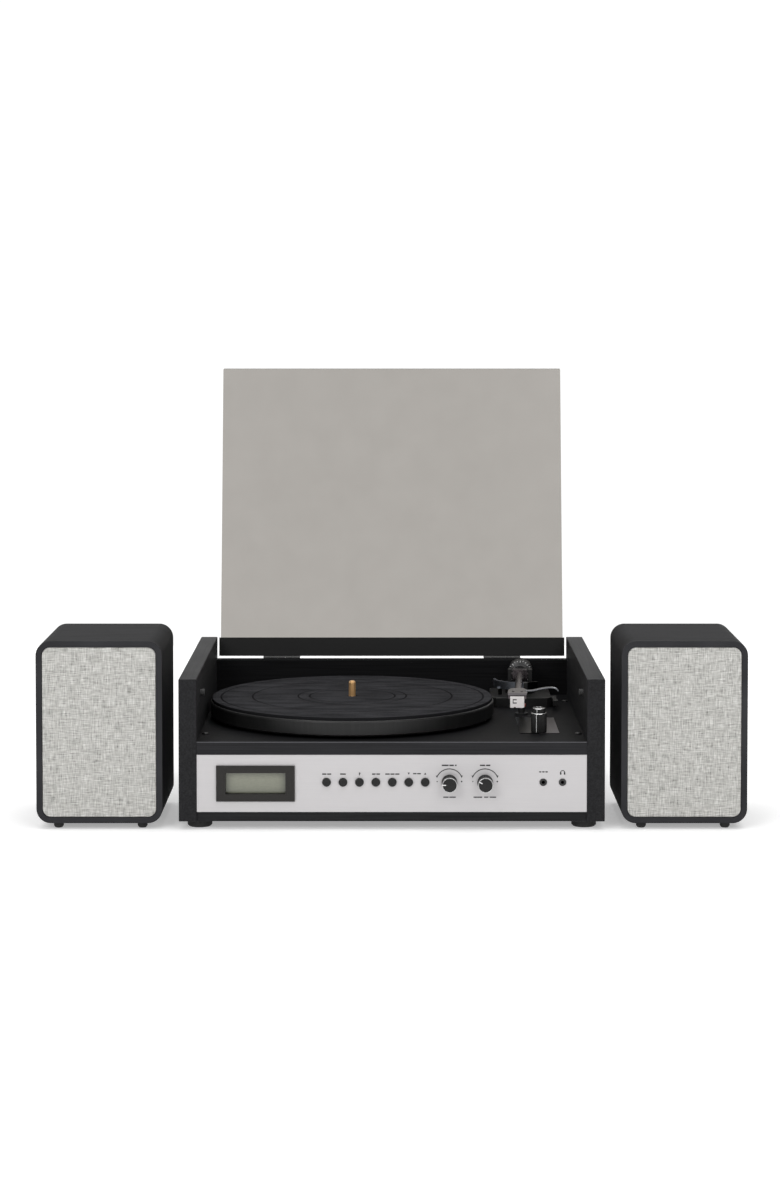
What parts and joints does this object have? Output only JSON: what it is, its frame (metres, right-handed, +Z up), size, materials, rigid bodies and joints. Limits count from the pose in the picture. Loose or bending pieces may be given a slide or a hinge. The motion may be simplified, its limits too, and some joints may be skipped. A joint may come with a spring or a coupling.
{
  "type": "mini hifi system",
  "caption": "Record player and radio unit in a black case with a silver fascia and an open smoked lid, beside a pair of cloth-fronted bookshelf speakers.",
  "frame": {"origin": "on the surface that the feet stand on, at the middle of the whole system's box at rest with the lid open", "axes": "+X to the right as seen from the front, +Y to the back, +Z up"},
  "size_m": [0.7096, 0.4198, 0.4484],
  "materials": {
    "black_board": "satin black woodgrain foil",
    "speaker_veneer": "satin black, fine open grain",
    "silver_fascia": "fine satin silver paint",
    "black_plastic": "fine moulded texture",
    "button_plastic": "semi gloss",
    "bezel_plastic": "semi gloss",
    "display_window": "clear, grey-green tint",
    "circuit_board": "solder mask",
    "rubber": "matt",
    "grey_rubber": "matt",
    "steel": "zinc plated",
    "brass": "turned",
    "platter_black": "satin black",
    "felt": "pressed felt",
    "arm_metal": "satin anodised, grey",
    "weight_black": "satin black",
    "white_plastic": "gloss",
    "smoke_acrylic": "polished clear sheet, smoke tint",
    "hinge_black": "satin black",
    "grey_plate": "satin grey",
    "cloth": "heathered linen weave",
    "driver_black": "satin black",
    "motor_can": "drawn steel"
  },
  "bodies": {
    "root": {"left_side_panel": "black_board", "right_side_panel": "black_board", "base_board": "black_board", "deck_board": "black_board", "front_panel": "silver_fascia", "rear_board": "black_board", "unit_feet": "rubber", "screws": "steel", "lcd_bezel": "bezel_plastic", "lcd_window": "display_window", "control_board": "circuit_board", "main_board": "circuit_board", "connector_plate": "black_plastic", "rear_sockets": "black_plastic", "spindle": "brass", "motor": "motor_can", "drive_belt": "rubber", "tonearm_base": "black_plastic", "arm_rest": "black_plastic", "control_plate": "grey_plate", "rear_hinge_leaves": "hinge_black", "hinge_pins": "steel", "lid_bumpers": "grey_rubber"},
    "platter": {"platter": "platter_black", "slipmat": "felt"},
    "motor_rotor": {"motor_pulley": "brass"},
    "arm_fork": {"tonearm_yoke": "black_plastic"},
    "arm": {"tonearm_tube": "arm_metal", "headshell": "arm_metal", "cartridge": "white_plastic"},
    "arm_weight": {"counterweight": "weight_black"},
    "cue_lever": {"cue_lever": "black_plastic"},
    "cue_lift": {"cue_lift_arc": "arm_metal"},
    "speed_selector": {"speed_knob": "button_plastic"},
    "lid": {"lid_panel": "smoke_acrylic", "lid_bar": "black_plastic", "lid_hinge_leaves": "hinge_black"},
    "volume": {"volume_knob": "button_plastic"},
    "tuning": {"tuning_knob": "button_plastic"},
    "button_1": {"push_button_1": "button_plastic"},
    "button_2": {"push_button_2": "button_plastic"},
    "button_3": {"push_button_3": "button_plastic"},
    "button_4": {"push_button_4": "button_plastic"},
    "button_5": {"push_button_5": "button_plastic"},
    "button_6": {"push_button_6": "button_plastic"},
    "button_7": {"push_button_7": "button_plastic"},
    "left_speaker": {"left_cabinet": "speaker_veneer", "left_baffle": "black_board", "left_driver": "driver_black", "left_terminal_plate": "black_plastic", "left_speaker_feet": "rubber"},
    "left_grille": {"left_grille_frame": "black_plastic", "left_grille_cloth": "cloth"},
    "right_speaker": {"right_cabinet": "speaker_veneer", "right_baffle": "black_board", "right_driver": "driver_black", "right_terminal_plate": "black_plastic", "right_speaker_feet": "rubber"},
    "right_grille": {"right_grille_frame": "black_plastic", "right_grille_cloth": "cloth"}
  },
  "joints": [
    {"name": "platter_spin", "type": "hinge", "parent": "root", "child": "platter", "pos_m": [-0.0417, -0.0315, 0.1], "axis": [0, 0, 1], "continuous": true},
    {"name": "motor_spin", "type": "hinge", "parent": "root", "child": "motor_rotor", "pos_m": [-0.12514, 0.05194, 0.095], "axis": [0, 0, 1], "continuous": true},
    {"name": "arm_swing", "type": "hinge", "parent": "root", "child": "arm_fork", "pos_m": [0.1399, 0.0685, 0.1185], "axis": [0, 0, -1], "range_deg": [0, 42]},
    {"name": "arm_lift", "type": "hinge", "parent": "arm_fork", "child": "arm", "pos_m": [0.1399, 0.0685, 0.1185], "axis": [-0.9981, 0.061, 0], "range_deg": [0, 4]},
    {"name": "weight_turn", "type": "hinge", "parent": "arm", "child": "arm_weight", "pos_m": [0.14149, 0.09445, 0.1185], "axis": [0.061, 0.9981, 0], "continuous": true},
    {"name": "cue_lever_turn", "type": "hinge", "parent": "root", "child": "cue_lever", "pos_m": [0.175, 0.0425, 0.094], "axis": [1, 0, 0], "range_deg": [-70, 0]},
    {"name": "cue_lift_slide", "type": "slide", "parent": "root", "child": "cue_lift", "axis": [0, 0, 1], "range_m": [0, 0.002]},
    {"name": "speed_turn", "type": "hinge", "parent": "root", "child": "speed_selector", "pos_m": [0.1495, -0.1375, 0.1], "axis": [0, 0, -1], "range_deg": [-30, 30]},
    {"name": "lid_close", "type": "hinge", "parent": "root", "child": "lid", "pos_m": [0, 0.1382, 0.1272], "axis": [1, 0, 0], "range_deg": [0, 101]},
    {"name": "volume_turn", "type": "hinge", "parent": "root", "child": "volume", "pos_m": [0.0574, -0.1935, 0.0478], "axis": [0, 1, 0], "range_deg": [-60, 240]},
    {"name": "tuning_turn", "type": "hinge", "parent": "root", "child": "tuning", "pos_m": [0.093, -0.1935, 0.0478], "axis": [0, 1, 0], "continuous": true},
    {"name": "button_1_press", "type": "slide", "parent": "root", "child": "button_1", "axis": [0, 1, 0], "range_m": [0, 0.0008], "stiffness_N_per_m": 300},
    {"name": "button_2_press", "type": "slide", "parent": "root", "child": "button_2", "axis": [0, 1, 0], "range_m": [0, 0.0008], "stiffness_N_per_m": 300},
    {"name": "button_3_press", "type": "slide", "parent": "root", "child": "button_3", "axis": [0, 1, 0], "range_m": [0, 0.0008], "stiffness_N_per_m": 300},
    {"name": "button_4_press", "type": "slide", "parent": "root", "child": "button_4", "axis": [0, 1, 0], "range_m": [0, 0.0008], "stiffness_N_per_m": 300},
    {"name": "button_5_press", "type": "slide", "parent": "root", "child": "button_5", "axis": [0, 1, 0], "range_m": [0, 0.0008], "stiffness_N_per_m": 300},
    {"name": "button_6_press", "type": "slide", "parent": "root", "child": "button_6", "axis": [0, 1, 0], "range_m": [0, 0.0008], "stiffness_N_per_m": 300},
    {"name": "button_7_press", "type": "slide", "parent": "root", "child": "button_7", "axis": [0, 1, 0], "range_m": [0, 0.0008], "stiffness_N_per_m": 300},
    {"name": "left_speaker_slide", "type": "slide", "parent": "root", "child": "left_speaker", "axis": [-1, 0, 0], "range_m": [0, 0.05]},
    {"name": "left_grille_pull", "type": "slide", "parent": "left_speaker", "child": "left_grille", "axis": [0, -1, 0], "range_m": [0, 0.012]},
    {"name": "right_speaker_slide", "type": "slide", "parent": "root", "child": "right_speaker", "axis": [1, 0, 0], "range_m": [0, 0.05]},
    {"name": "right_grille_pull", "type": "slide", "parent": "right_speaker", "child": "right_grille", "axis": [0, -1, 0], "range_m": [0, 0.012]}
  ],
  "couplings": [
    {"joint": "motor_spin", "follows": "platter_spin", "ratio": 14.333},
    {"joint": "arm_lift", "follows": "cue_lever_turn", "ratio": -0.057143},
    {"joint": "cue_lift_slide", "follows": "cue_lever_turn", "m_per_rad": -0.001636}
  ]
}
